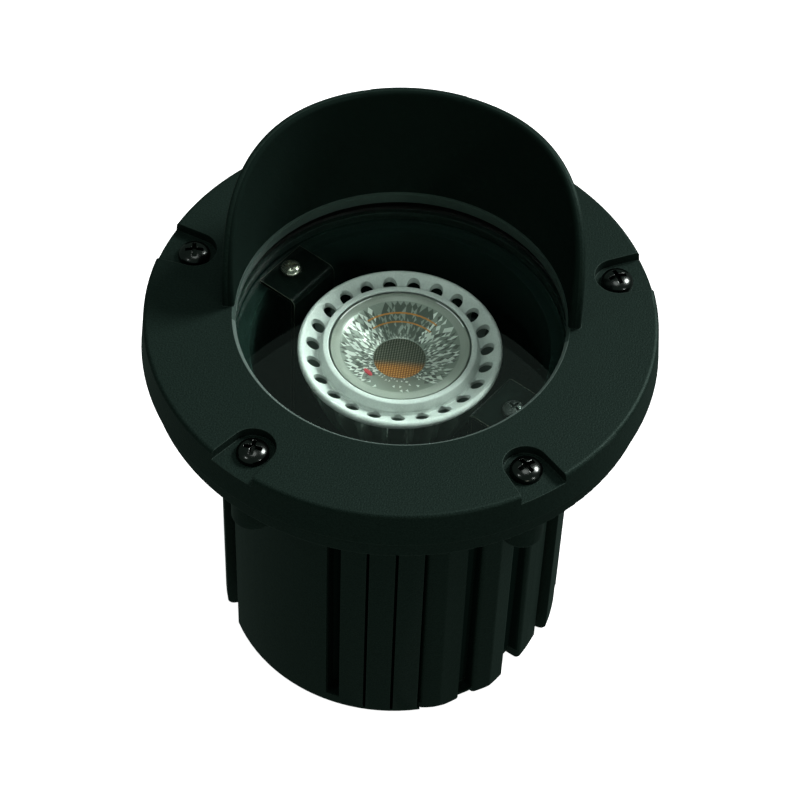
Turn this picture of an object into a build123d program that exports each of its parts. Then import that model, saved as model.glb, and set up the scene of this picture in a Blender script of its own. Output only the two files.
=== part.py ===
from build123d import *
from math import cos, radians, sin
import os

# In-ground well light: a cast housing that is buried up to its flange, and a
# cast cover ring with a half-round hood, held down by five screws. The frame
# has its origin at the centre of the housing's underside, +Z up, and the hood
# stands at the rear, +Y. Lengths are in millimetres, angles in degrees about
# +Z from +X.

# Cover ring, laid out from its opening outwards
OPENING_RADIUS = 39.4
OPENING_CHAMFER = 0.8
LIP_THICKNESS = 3.3
LENS_OVERLAP = 5.6
SEAL_DISTANCE = 2.55
SCREW_SEAL_DISTANCE = 4.7
SCREW_EDGE_DISTANCE = 8.3
COVER_THICKNESS = 9.7
COVER_DRAFT = 0.7
COVER_EDGE_ROUND = 1.0

# Hood, cast in one with the cover ring
HOOD_HEIGHT = 33.6
HOOD_SETBACK = 3.4
HOOD_WALL = 2.7
HOOD_DRAFT = 0.9
HOOD_FRONT = -1.2
HOOD_NOSE_LENGTH = 36.2
HOOD_NOSE_HEIGHT = 29.5
HOOD_RIM_ROUND = 0.9
HOOD_ROOT = 1.0

# Lens and its seals
LENS_THICKNESS = 4.0
LENS_EDGE_CHAMFER = 0.5
GASKET_WALL = 1.2
GASKET_LIP = 1.0
GASKET_LIP_REACH = 4.0
SEAL_WIDTH = 2.8
SEAL_DEPTH = 1.6

# Housing casting
HOUSING_HEIGHT = 95.7
FLANGE_SETBACK = 1.6
FLANGE_THICKNESS = 6.5
FLANGE_EDGE_ROUND = 0.8
RIM_CLEARANCE = 1.05
MOUTH_SETBACK = 0.4
SHELF_DEPTH = 2.8
CORE_INSET = 0.6
CORE_TAPER = 2.0
CORE_FOOT_ROUND = 1.5
WALL = 3.0
FLOOR_THICKNESS = 5.0
RIB_DEPTH = 4.0
RIB_TAPER = 1.2
RIB_BOTTOM_ROUND = 2.0
RIB_ROOT = 1.0
RIB_CORNER_RADIUS_DROP = 1.5
RIB_CORNER_ROUND = 1.2

# Ribs round the housing: one half of the pattern, repeated half a turn away.
# A smooth pad, a recess, narrow ribs, ridged ribs, then two round-faced ribs.
# Ridged ribs: start, span and how far the ridge lies inside the envelope.
# Round-faced ribs: start, span and how far they stand outside it.
PATTERN_TURNS = 2
PAD_START = 205.0
PAD_SPAN = 45.5
RECESS_SPAN = 4.9
RECESS_FOOT = 4.3
RECESS_OVERLAP = 1.0
NARROW_RIBS = 3
NARROW_PITCH = 9.4
NARROW_GAP = 1.0
FOOT_BAND_HEIGHT = 2.0
FOOT_BAND_SPAN = 48.8
RIDGED_RIBS = ((283.6, 15.4, 0.0), (304.0, 14.6, 0.3), (327.0, 14.0, 1.6))
RIDGE_SHARE = 0.45
ROUND_RIBS = ((343.2, 14.6, 0.5), (361.5, 13.0, 0.8))

# Cover screws, M4 pan head with a cross recess
SCREW_COUNT = 5
FIRST_SCREW_ANGLE = 18.0
SCREW_RADIUS = 2.0
SCREW_LENGTH = 16.0
SCREW_HEAD_RADIUS = 3.9
SCREW_HEAD_HEIGHT = 2.7
SCREW_HOLE_CLEARANCE = 0.25
THREAD_CLEARANCE = 0.05
POCKET_DEPTH = 2.6
POCKET_RADIUS = 5.5
POCKET_MOUTH = 6.3
BOSS_RADIUS = 5.2
BOSS_DROP = 9.0
BOSS_FOOT_ROUND = 1.0
GUSSET_THICKNESS = 3.0
GUSSET_RISE = 2.0

# Shape of every pan head, as shares of its radius or height
HEAD_BRIM_SHARE = 0.35
CROSS_WIDTH_SHARE = 0.3
CROSS_LENGTH_SHARE = 1.15
CROSS_DEPTH_SHARE = 0.6
TIP_SHARE = 0.4

# Conduit hub in the floor and its sealing bush
ENTRY_RADIUS = 9.2
ENTRY_LENGTH = 13.0
HUB_WALL = 4.8
BUSH_SEAT_STEP = 2.0
BUSH_SEAT_DEPTH = 3.0
BUSH_BRIM = 1.6
BUSH_BRIM_THICKNESS = 2.0
BUSH_CLEARANCE = 0.1

# Lamp, a reflector-size LED lamp with a two-pin base
LAMP_RADIUS = 25.0
LAMP_FRONT_DEPTH = 12.75
LAMP_CROWN_THICKNESS = 2.6
LAMP_HOLE_COUNT = 23
LAMP_HOLE_CIRCLE = 20.95
LAMP_HOLE_RADIUS = 1.85
LAMP_DISH_RADIUS = 21.9
LAMP_DISH_DEPTH = 0.7
LAMP_CUP_RADIUS = 18.8
LAMP_CUP_WALL = 0.8
LAMP_CUP_DEPTH = 9.0
LAMP_FIN_THICKNESS = 1.3
LAMP_BODY_LENGTH = 31.0
LAMP_NECK_RADIUS = 11.5
LAMP_FIN_INSET = 0.8
LAMP_FIN_WAIST_RADIUS = 19.5
LAMP_CROWN_ROUND = 0.9
BEZEL_HEIGHT = 1.6
BEZEL_WIDTH = 1.6
BEZEL_SLOPE = 0.5
BEZEL_EDGE_ROUND = 0.3
OPTIC_THICKNESS = 7.6
OPTIC_FACE_BAND = 2.2
OPTIC_BOWL_DEPTH = 1.2
OPTIC_EDGE = 1.8
OPTIC_LEDGE = 0.9
OPTIC_RISE = 0.9
OPTIC_GROOVE = 0.4
OPTIC_WELL_GAP = 0.3
OPTIC_WELL_TAPER = 0.95
OPTIC_WELL_WALL = 1.4
OPTIC_CLEARANCE = 0.1
BOARD_RADIUS = 13.0
BOARD_THICKNESS = 1.2
EMITTER_RADIUS = 5.2
EMITTER_THICKNESS = 0.6
BASE_RADIUS = 10.2
BASE_LENGTH = 8.0
BASE_WALL = 1.5
DRIVER_WIDTH = 13.0
DRIVER_THICKNESS = 1.4
DRIVER_PART_RADIUS = 2.0
DRIVER_PART_HEIGHT = 3.0
PIN_RADIUS = 0.75
PIN_LENGTH = 6.5
PIN_SPACING = 5.33

# Lampholder
HOLDER_LENGTH = 26.0
HOLDER_WIDTH = 13.0
HOLDER_HEIGHT = 12.0
HOLDER_SCREW_SPACING = 18.0
HOLDER_SCREW_SEAT = 8.0
HOLDER_SCREW_TIP = 1.2
HOLDER_EDGE_CHAMFER = 0.6
HOLDER_CORNER_ROUND = 3.9
CONTACT_WALL = 0.6
CONTACT_CLEARANCE = 0.05
CONTACT_LENGTH = 9.0
HOLDER_SCREW_RADIUS = 1.25
HOLDER_SCREW_HEAD_RADIUS = 2.4
HOLDER_SCREW_HEAD_HEIGHT = 1.6

# Strap bracket that hangs the lampholder from two bosses
STRAP_ANGLE = 144.4
STRAP_WIDTH = 15.0
STRAP_THICKNESS = 1.0
STRAP_LEG_INSET = 7.0
STRAP_BEND = 1.2
BRACKET_SCREW_INSET = 4.8
BRACKET_SCREW_RADIUS = 1.5
BRACKET_SCREW_LENGTH = 8.0
BRACKET_HEAD_RADIUS = 2.65
BRACKET_HEAD_HEIGHT = 1.9
BRACKET_BOSS_RADIUS = 3.6
BRACKET_BOSS_LENGTH = 20.0
BRACKET_BOSS_RISE = 0.6
LEAD_RADIUS = 1.1
LEAD_SPACING = 7.0
LEAD_BULGE = 4.0
LEAD_STRAIGHT = 3.0
LEAD_BEND = 4.0
LEAD_HOLE_CLEARANCE = 0.1

# Length by which a cutter runs past the face that it opens
OVERSHOOT = 1.0

# Radii worked out from the sizes above
LENS_RADIUS = OPENING_RADIUS + LENS_OVERLAP
GASKET_RADIUS = LENS_RADIUS + GASKET_WALL
SEAT_RADIUS = GASKET_RADIUS + SCREW_HOLE_CLEARANCE
SEAL_RADIUS = SEAT_RADIUS + SEAL_DISTANCE
SCREW_CIRCLE_RADIUS = SEAL_RADIUS + SCREW_SEAL_DISTANCE
COVER_RADIUS = SCREW_CIRCLE_RADIUS + SCREW_EDGE_DISTANCE
FLANGE_RADIUS = COVER_RADIUS - FLANGE_SETBACK
HOOD_RADIUS = OPENING_RADIUS + HOOD_SETBACK
MOUTH_RADIUS = OPENING_RADIUS + MOUTH_SETBACK
RIM_RADIUS = SEAT_RADIUS - RIM_CLEARANCE
CORE_TOP_RADIUS = MOUTH_RADIUS - CORE_INSET
CORE_BOTTOM_RADIUS = CORE_TOP_RADIUS - CORE_TAPER
RIB_TOP_RADIUS = CORE_TOP_RADIUS + RIB_DEPTH
RIB_BOTTOM_RADIUS = RIB_TOP_RADIUS - RIB_TAPER
BRACKET_SCREW_CIRCLE = CORE_TOP_RADIUS - BRACKET_SCREW_INSET
STRAP_LEG_RADIUS = BRACKET_SCREW_CIRCLE - STRAP_LEG_INSET
HUB_RADIUS = ENTRY_RADIUS + HUB_WALL
BUSH_SEAT_RADIUS = ENTRY_RADIUS + BUSH_SEAT_STEP
LAMP_SEAT_RADIUS = LAMP_CUP_RADIUS - LAMP_CUP_WALL

# Heights worked out from the sizes above
FLANGE_LOW = HOUSING_HEIGHT - FLANGE_THICKNESS
COVER_TOP = HOUSING_HEIGHT + COVER_THICKNESS
LIP_LOW = COVER_TOP - LIP_THICKNESS
LENS_TOP = LIP_LOW - GASKET_LIP
LENS_LOW = LENS_TOP - LENS_THICKNESS
RIM_TOP = LENS_LOW - GASKET_LIP
SHELF = HOUSING_HEIGHT - SHELF_DEPTH
POCKET_FLOOR = COVER_TOP - POCKET_DEPTH
LAMP_FRONT = COVER_TOP - LAMP_FRONT_DEPTH
LAMP_CROWN_LOW = LAMP_FRONT - LAMP_CROWN_THICKNESS
BEZEL_SEAT = LAMP_FRONT - LAMP_DISH_DEPTH
LAMP_CUP_FLOOR = LAMP_FRONT - LAMP_CUP_DEPTH
LAMP_NECK = LAMP_FRONT - LAMP_BODY_LENGTH
LAMP_FOOT = LAMP_NECK - BASE_LENGTH
HOLDER_LOW = LAMP_FOOT - HOLDER_HEIGHT
BRACKET_SEAT = SHELF + BRACKET_BOSS_RISE
HUB_TOP = ENTRY_LENGTH + BUSH_SEAT_DEPTH
BUSH_TOP = HUB_TOP + BUSH_BRIM_THICKNESS
UP = (Align.CENTER, Align.CENTER, Align.MIN)


def turned(points):
    """Solid turned about Z from (radius, height) points."""
    return revolve(Plane.XZ * make_face(Polyline(*points, close=True)), Axis.Z)


def rod(radius, low, high):
    return Pos(0, 0, low) * Cylinder(radius, high - low, align=UP)


def tube(outer, inner, low, high):
    return rod(outer, low, high) - rod(inner, low, high)


def around(angle):
    return Rot(0, 0, angle)


def wedge(start, span, low, high):
    """Sector of a tall drum, wider than the part, from one angle on."""
    reach = 2 * COVER_RADIUS
    middle = start + span / 2
    points = [(0, 0)]
    for angle in (start, middle, start + span):
        points.append((reach * cos(radians(angle)), reach * sin(radians(angle))))
    return Pos(0, 0, low) * extrude(make_face(Polyline(*points, close=True)), high - low)


def screw_angles():
    return [FIRST_SCREW_ANGLE + i * 360 / SCREW_COUNT for i in range(SCREW_COUNT)]


def pan_head_screw(radius, length, head_radius, head_height):
    """Cross-recessed screw, its head's underside at the origin, along +Z."""
    brim = head_height * HEAD_BRIM_SHARE
    dome = EllipticalCenterArc((0, brim), head_radius, head_height - brim, start_angle=0, arc_size=90)
    outline = Polyline((0, head_height), (0, 0), (head_radius, 0), (head_radius, brim)) + dome
    head = revolve(Plane.XZ * make_face(outline), Axis.Z)
    slot_depth = head_height * CROSS_DEPTH_SHARE
    for turn in (0, 90):
        slot = Box(head_radius * CROSS_LENGTH_SHARE, head_radius * CROSS_WIDTH_SHARE, 2 * slot_depth)
        head -= Pos(0, 0, head_height) * Rot(0, 0, turn) * slot
    shank = Pos(0, 0, -length) * Cylinder(radius, length, align=UP)
    shank = chamfer(shank.edges().sort_by(Axis.Z)[0], radius * TIP_SHARE)
    return head + shank


def make_cover():
    base = HOUSING_HEIGHT
    ring = turned([
        (OPENING_RADIUS, COVER_TOP),
        (OPENING_RADIUS, LIP_LOW),
        (SEAT_RADIUS, LIP_LOW),
        (SEAT_RADIUS, base),
        (COVER_RADIUS, base),
        (COVER_RADIUS - COVER_DRAFT, COVER_TOP),
    ])
    rims = ring.edges().filter_by(GeomType.CIRCLE).group_by(Axis.Z)[-1].sort_by(SortBy.LENGTH)
    ring = chamfer(rims[0], OPENING_CHAMFER)
    rims = ring.edges().filter_by(GeomType.CIRCLE).group_by(Axis.Z)[-1].sort_by(SortBy.LENGTH)
    ring = fillet(rims[-1], COVER_EDGE_ROUND)
    ring += make_hood()
    for angle in screw_angles():
        ring -= around(angle) * screw_pocket()
    return ring


def screw_pocket():
    """U-shaped pocket, open through the rim, with its screw hole, on +X."""
    outside = COVER_RADIUS + OVERSHOOT
    floor = Pos(SCREW_CIRCLE_RADIUS, 0) * Circle(POCKET_RADIUS)
    floor += make_face(Polyline(
        (SCREW_CIRCLE_RADIUS, -POCKET_RADIUS),
        (outside, -POCKET_MOUTH),
        (outside, POCKET_MOUTH),
        (SCREW_CIRCLE_RADIUS, POCKET_RADIUS),
        close=True,
    ))
    pocket = Pos(0, 0, POCKET_FLOOR) * extrude(floor, 2 * POCKET_DEPTH)
    hole = rod(SCREW_RADIUS + SCREW_HOLE_CLEARANCE, 0, COVER_TOP)
    return pocket + Pos(SCREW_CIRCLE_RADIUS, 0) * hole


def make_hood():
    low = COVER_TOP - HOOD_ROOT
    top = COVER_TOP + HOOD_HEIGHT
    inner = HOOD_RADIUS - HOOD_WALL
    shell = turned([
        (inner - HOOD_DRAFT / 2, low),
        (HOOD_RADIUS, low),
        (HOOD_RADIUS, top),
        (inner + HOOD_DRAFT / 2, top),
    ])
    corner = top - HOOD_NOSE_HEIGHT
    back = HOOD_RADIUS + OVERSHOOT
    nose = EllipticalCenterArc(
        (HOOD_FRONT + HOOD_NOSE_LENGTH, corner),
        HOOD_NOSE_LENGTH,
        HOOD_NOSE_HEIGHT,
        start_angle=90,
        arc_size=90,
    )
    outline = nose + Polyline(
        (HOOD_FRONT, corner),
        (HOOD_FRONT, low),
        (back, low),
        (back, top),
        (HOOD_FRONT + HOOD_NOSE_LENGTH, top),
    )
    profile = Plane.YZ * make_face(outline)
    hood = shell & extrude(profile, back, both=True)
    return fillet(hood_rim_edges(hood), HOOD_RIM_ROUND)


def hood_rim_edges(hood):
    """Edges along the level rim, the curved nose and the upright front."""
    walls = (GeomType.CYLINDER, GeomType.CONE)
    rim = [face for face in hood.faces() if face.geom_type not in walls and face.center().Z > COVER_TOP]
    return [edge for face in rim for edge in face.edges() if edge.bounding_box().max.Z > COVER_TOP]


def make_lens():
    lens = rod(LENS_RADIUS, LENS_LOW, LENS_TOP)
    return chamfer(lens.edges().filter_by(GeomType.CIRCLE), LENS_EDGE_CHAMFER)


def make_lens_gasket():
    inner = LENS_RADIUS - GASKET_LIP_REACH
    groove = LENS_RADIUS + OPTIC_CLEARANCE
    return turned([
        (inner, LIP_LOW),
        (GASKET_RADIUS, LIP_LOW),
        (GASKET_RADIUS, RIM_TOP),
        (inner, RIM_TOP),
        (inner, LENS_LOW),
        (groove, LENS_LOW),
        (groove, LENS_TOP),
        (inner, LENS_TOP),
    ])


def make_flange_seal():
    low = HOUSING_HEIGHT - SEAL_DEPTH
    return tube(SEAL_RADIUS + SEAL_WIDTH / 2, SEAL_RADIUS - SEAL_WIDTH / 2, low, HOUSING_HEIGHT)


def make_housing():
    cavity_top = CORE_TOP_RADIUS - WALL
    cavity_bottom = CORE_BOTTOM_RADIUS - WALL
    shell = turned([
        (0, 0),
        (CORE_BOTTOM_RADIUS, 0),
        (CORE_TOP_RADIUS, FLANGE_LOW),
        (FLANGE_RADIUS, FLANGE_LOW),
        (FLANGE_RADIUS, HOUSING_HEIGHT),
        (RIM_RADIUS, HOUSING_HEIGHT),
        (RIM_RADIUS, RIM_TOP),
        (MOUTH_RADIUS, RIM_TOP),
        (MOUTH_RADIUS, SHELF),
        (cavity_top, SHELF),
        (cavity_bottom, FLOOR_THICKNESS),
        (0, FLOOR_THICKNESS),
    ])
    shell = fillet(outer_edges(shell, FLANGE_RADIUS), FLANGE_EDGE_ROUND)
    shell = fillet(outer_edges(shell, CORE_BOTTOM_RADIUS), CORE_FOOT_ROUND)
    shell += make_ribs()
    shell += rod(HUB_RADIUS, FLOOR_THICKNESS / 2, HUB_TOP)
    for angle in screw_angles():
        shell += around(angle) * screw_boss()
    for side in (0, 180):
        shell += around(STRAP_ANGLE + side) * bracket_boss()
    shell -= rod(ENTRY_RADIUS, -OVERSHOOT, HUB_TOP + OVERSHOOT)
    shell -= rod(BUSH_SEAT_RADIUS, ENTRY_LENGTH, HUB_TOP + OVERSHOOT)
    shell -= seal_groove()
    for angle in screw_angles():
        hole = rod(SCREW_RADIUS + THREAD_CLEARANCE, FLANGE_LOW - BOSS_DROP - OVERSHOOT, COVER_TOP)
        shell -= around(angle) * Pos(SCREW_CIRCLE_RADIUS, 0) * hole
    for side in (0, 180):
        depth = BRACKET_SEAT - BRACKET_SCREW_LENGTH - OVERSHOOT
        tapped = rod(BRACKET_SCREW_RADIUS + THREAD_CLEARANCE, depth, COVER_TOP)
        shell -= around(STRAP_ANGLE + side) * Pos(BRACKET_SCREW_CIRCLE, 0) * tapped
    return shell


def outer_edges(solid, radius):
    """The solid's round edges of one radius."""
    circles = solid.edges().filter_by(GeomType.CIRCLE)
    return [edge for edge in circles if abs(edge.radius - radius) < THREAD_CLEARANCE]


def seal_groove():
    low = HOUSING_HEIGHT - SEAL_DEPTH
    half = SEAL_WIDTH / 2 + BUSH_CLEARANCE
    return tube(SEAL_RADIUS + half, SEAL_RADIUS - half, low, COVER_TOP)


def screw_boss():
    """Boss under the flange on +X, webbed to the housing wall."""
    low = FLANGE_LOW - BOSS_DROP
    boss = Pos(SCREW_CIRCLE_RADIUS, 0) * rod(BOSS_RADIUS, low, FLANGE_LOW + OVERSHOOT)
    boss = fillet(boss.edges().filter_by(GeomType.CIRCLE).sort_by(Axis.Z)[0], BOSS_FOOT_ROUND)
    web_start = CORE_TOP_RADIUS - RIB_ROOT
    web_height = BOSS_DROP - GUSSET_RISE + OVERSHOOT
    web = Box(
        SCREW_CIRCLE_RADIUS - web_start,
        GUSSET_THICKNESS,
        web_height,
        align=(Align.MIN, Align.CENTER, Align.MIN),
    )
    return boss + Pos(web_start, 0, low + GUSSET_RISE) * web


def bracket_boss():
    """Boss inside the mouth on +X for one bracket screw."""
    low = BRACKET_SEAT - BRACKET_BOSS_LENGTH
    boss = Pos(BRACKET_SCREW_CIRCLE, 0) * rod(BRACKET_BOSS_RADIUS, low, BRACKET_SEAT)
    return boss & rod(CORE_BOTTOM_RADIUS, low, BRACKET_SEAT)


def rib_envelope(rise):
    """Tapered tube that the ribs are cut from, rounded at its foot."""
    envelope = turned([
        (CORE_BOTTOM_RADIUS - RIB_ROOT, 0),
        (RIB_BOTTOM_RADIUS + rise, 0),
        (RIB_TOP_RADIUS + rise, FLANGE_LOW),
        (CORE_TOP_RADIUS - RIB_ROOT, FLANGE_LOW),
    ])
    return fillet(outer_edges(envelope, RIB_BOTTOM_RADIUS + rise), RIB_BOTTOM_ROUND)


def make_ribs():
    """Smooth pads, narrow ribs, ridged ribs and round-faced ribs."""
    envelope = rib_envelope(0)
    band_envelope = rib_envelope(-RIB_CORNER_RADIUS_DROP)
    ribs = Part()
    for half in range(PATTERN_TURNS):
        turn = half * 360 / PATTERN_TURNS
        ribs += envelope & wedge(turn + PAD_START, PAD_SPAN, 0, FLANGE_LOW)
        recess = turn + PAD_START + PAD_SPAN
        foot_start = recess - RECESS_OVERLAP
        ribs += envelope & wedge(foot_start, RECESS_SPAN + 2 * RECESS_OVERLAP, 0, RECESS_FOOT)
        narrow_start = recess + RECESS_SPAN
        ribs += envelope & wedge(narrow_start, NARROW_RIBS * NARROW_PITCH, 0, FOOT_BAND_HEIGHT)
        ribs += band_envelope & wedge(narrow_start, FOOT_BAND_SPAN, 0, FOOT_BAND_HEIGHT)
        for i in range(NARROW_RIBS):
            at = narrow_start + i * NARROW_PITCH
            ribs += envelope & wedge(at, NARROW_PITCH - NARROW_GAP, 0, FLANGE_LOW)
        for start, span, drop in RIDGED_RIBS:
            ribs += envelope & ridged_prism(turn + start, span, drop)
        for start, span, rise in ROUND_RIBS:
            ribs += rib_envelope(rise) & wedge(turn + start, span, 0, FLANGE_LOW)
    return ribs


def ridged_prism(start, span, drop):
    """Tapered prism over one ridged rib, with a shallow gable outwards."""
    low = rib_outline(start, span, RIB_BOTTOM_RADIUS, drop)
    high = Pos(0, 0, FLANGE_LOW) * rib_outline(start, span, RIB_TOP_RADIUS, drop)
    return loft([low, high], ruled=True)


def rib_outline(start, span, outside, drop):
    corner = outside - RIB_CORNER_RADIUS_DROP
    root = CORE_BOTTOM_RADIUS - WALL
    stations = [
        (root, start),
        (corner, start),
        (outside - drop, start + span * RIDGE_SHARE),
        (corner, start + span),
        (root, start + span),
    ]
    points = [(r * cos(radians(a)), r * sin(radians(a))) for r, a in stations]
    face = make_face(Polyline(*points, close=True))
    far = [vertex for vertex in face.vertices() if Vector(*vertex).length > CORE_TOP_RADIUS - CORE_TAPER]
    return fillet(far, RIB_CORNER_ROUND)


def make_cover_screw(angle):
    screw = pan_head_screw(SCREW_RADIUS, SCREW_LENGTH, SCREW_HEAD_RADIUS, SCREW_HEAD_HEIGHT)
    return around(angle) * Pos(SCREW_CIRCLE_RADIUS, 0, POCKET_FLOOR) * screw


def make_bracket():
    tab_end = BRACKET_SCREW_CIRCLE + BRACKET_BOSS_RADIUS - THREAD_CLEARANCE
    tab_height = BRACKET_SEAT + STRAP_THICKNESS / 2
    cross_height = HOLDER_LOW - STRAP_THICKNESS / 2
    path = FilletPolyline(
        (-tab_end, 0, tab_height),
        (-STRAP_LEG_RADIUS, 0, tab_height),
        (-STRAP_LEG_RADIUS, 0, cross_height),
        (STRAP_LEG_RADIUS, 0, cross_height),
        (STRAP_LEG_RADIUS, 0, tab_height),
        (tab_end, 0, tab_height),
        radius=STRAP_BEND,
    )
    start = Plane(origin=path @ 0, x_dir=(0, 1, 0), z_dir=path % 0)
    section = start * Rectangle(STRAP_WIDTH, STRAP_THICKNESS)
    strap = sweep(section, path)
    for side in (-1, 1):
        hole = rod(BRACKET_SCREW_RADIUS + SCREW_HOLE_CLEARANCE, SHELF, COVER_TOP)
        strap -= Pos(side * BRACKET_SCREW_CIRCLE, 0) * hole
        small = rod(HOLDER_SCREW_RADIUS + THREAD_CLEARANCE, 0, HOLDER_LOW + OVERSHOOT)
        strap -= Pos(side * HOLDER_SCREW_SPACING / 2, 0) * small
        lead_way = rod(LEAD_RADIUS + SCREW_HOLE_CLEARANCE, 0, HOLDER_LOW + OVERSHOOT)
        strap -= Pos(0, side * LEAD_SPACING / 2) * lead_way
    return around(STRAP_ANGLE) * strap


def make_bracket_screw(side):
    screw = pan_head_screw(
        BRACKET_SCREW_RADIUS,
        BRACKET_SCREW_LENGTH,
        BRACKET_HEAD_RADIUS,
        BRACKET_HEAD_HEIGHT,
    )
    head_seat = BRACKET_SEAT + STRAP_THICKNESS
    return around(STRAP_ANGLE + side) * Pos(BRACKET_SCREW_CIRCLE, 0, head_seat) * screw


def make_lampholder():
    body = Box(HOLDER_LENGTH, HOLDER_WIDTH, HOLDER_HEIGHT, align=UP)
    body = fillet(body.edges().filter_by(Axis.Z), HOLDER_CORNER_ROUND)
    body = chamfer(body.edges().group_by(Axis.Z)[-1], HOLDER_EDGE_CHAMFER)
    for side in (-1, 1):
        pin_hole = rod(PIN_RADIUS + LEAD_HOLE_CLEARANCE, 0, HOLDER_HEIGHT)
        chamber = rod(contact_radius() + CONTACT_CLEARANCE, -OVERSHOOT, CONTACT_LENGTH)
        body -= Pos(side * PIN_SPACING / 2, 0) * (pin_hole + chamber)
        screw_way = rod(HOLDER_SCREW_RADIUS + SCREW_HOLE_CLEARANCE, 0, HOLDER_HEIGHT)
        sink = rod(HOLDER_SCREW_HEAD_RADIUS + SCREW_HOLE_CLEARANCE, HOLDER_SCREW_SEAT, HOLDER_HEIGHT)
        body -= Pos(side * HOLDER_SCREW_SPACING / 2, 0) * (screw_way + sink)
    return around(STRAP_ANGLE) * Pos(0, 0, HOLDER_LOW) * body


def contact_radius():
    return PIN_RADIUS + CONTACT_CLEARANCE + CONTACT_WALL


def make_contacts():
    """Two sprung tubes, split down one side, that grip the lamp pins."""
    inner = PIN_RADIUS + CONTACT_CLEARANCE
    clip = tube(contact_radius(), inner, 0, CONTACT_LENGTH)
    slit = Box(2 * contact_radius(), CONTACT_WALL, CONTACT_LENGTH, align=(Align.MIN, Align.CENTER, Align.MIN))
    clips = Part()
    for side in (-1, 1):
        clips += Pos(side * PIN_SPACING / 2, 0) * Rot(0, 0, 90 * (1 - side)) * (clip - slit)
    return around(STRAP_ANGLE) * Pos(0, 0, HOLDER_LOW) * clips


def make_holder_screws():
    seat = HOLDER_LOW + HOLDER_SCREW_SEAT
    length = HOLDER_SCREW_SEAT + STRAP_THICKNESS + HOLDER_SCREW_TIP
    screw = pan_head_screw(HOLDER_SCREW_RADIUS, length, HOLDER_SCREW_HEAD_RADIUS, HOLDER_SCREW_HEAD_HEIGHT)
    screws = Part()
    for side in (-1, 1):
        screws += Pos(side * HOLDER_SCREW_SPACING / 2, 0, seat) * screw
    return around(STRAP_ANGLE) * screws


def make_entry_bush():
    """Rubber bush that seals the hub round the two leads."""
    bush = rod(BUSH_SEAT_RADIUS - BUSH_CLEARANCE, ENTRY_LENGTH, HUB_TOP)
    bush += rod(BUSH_SEAT_RADIUS + BUSH_BRIM, HUB_TOP, BUSH_TOP)
    for side in (-1, 1):
        hole = rod(LEAD_RADIUS + LEAD_HOLE_CLEARANCE, ENTRY_LENGTH, BUSH_TOP)
        bush -= Pos(0, side * LEAD_SPACING / 2) * hole
    return around(STRAP_ANGLE) * bush


def make_lead(side):
    """One lampholder lead, slack between the holder and the bush."""
    y = side * LEAD_SPACING / 2
    top = HOLDER_LOW - STRAP_THICKNESS
    middle = (top + BUSH_TOP) / 2
    path = FilletPolyline(
        (0, y, HOLDER_LOW),
        (0, y, top - LEAD_STRAIGHT),
        (0, y + side * LEAD_BULGE, middle),
        (0, y, BUSH_TOP + LEAD_STRAIGHT),
        (0, y, ENTRY_LENGTH),
        radius=LEAD_BEND,
    )
    start = Plane(origin=path @ 0, x_dir=(1, 0, 0), z_dir=path % 0)
    return around(STRAP_ANGLE) * sweep(start * Circle(LEAD_RADIUS), path)


def make_heat_sink():
    """Cast lamp body: dished crown ring with holes, fins and the optic's cup."""
    bore = LAMP_SEAT_RADIUS - OPTIC_LEDGE
    ledge = LAMP_FRONT - OPTIC_EDGE
    board_bore = BOARD_RADIUS + OPTIC_CLEARANCE
    body = turned([
        (0, LAMP_NECK),
        (LAMP_NECK_RADIUS, LAMP_NECK),
        (LAMP_CUP_RADIUS, LAMP_CUP_FLOOR),
        (LAMP_CUP_RADIUS, BEZEL_SEAT),
        (LAMP_SEAT_RADIUS, BEZEL_SEAT),
        (LAMP_SEAT_RADIUS, ledge),
        (bore, ledge),
        (board_bore, LAMP_CUP_FLOOR + BOARD_THICKNESS),
        (board_bore, LAMP_CUP_FLOOR),
        (0, LAMP_CUP_FLOOR),
    ])
    inner = LAMP_CUP_RADIUS - LAMP_CUP_WALL / 2
    crown = turned([
        (inner, LAMP_CROWN_LOW),
        (LAMP_RADIUS, LAMP_CROWN_LOW),
        (LAMP_RADIUS, LAMP_FRONT),
        (LAMP_DISH_RADIUS, LAMP_FRONT),
        (LAMP_CUP_RADIUS + BEZEL_SLOPE, BEZEL_SEAT),
        (inner, BEZEL_SEAT),
    ])
    crown = fillet(outer_edges(crown, LAMP_RADIUS), LAMP_CROWN_ROUND)
    step = 360 / LAMP_HOLE_COUNT
    hole = rod(LAMP_HOLE_RADIUS, LAMP_CROWN_LOW - OVERSHOOT, LAMP_FRONT + OVERSHOOT)
    hole = Pos(LAMP_HOLE_CIRCLE, 0) * hole
    fin = lamp_fin()
    for i in range(LAMP_HOLE_COUNT):
        crown -= around(i * step) * hole
    for i in range(LAMP_HOLE_COUNT):
        body += around((i + 0.5) * step) * fin
    return body + crown


def lamp_fin():
    """One fin on +X, from the neck up to the crown."""
    outline = Polyline(
        (LAMP_NECK_RADIUS - LAMP_CUP_WALL, LAMP_NECK),
        (LAMP_NECK_RADIUS + LAMP_FIN_INSET, LAMP_NECK),
        (LAMP_FIN_WAIST_RADIUS, (LAMP_NECK + LAMP_CROWN_LOW) / 2),
        (LAMP_RADIUS - LAMP_FIN_INSET, LAMP_CROWN_LOW),
        (LAMP_CUP_RADIUS - LAMP_CUP_WALL / 2, LAMP_CROWN_LOW),
        close=True,
    )
    return extrude(Plane.XZ * make_face(outline), LAMP_FIN_THICKNESS / 2, both=True)


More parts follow.
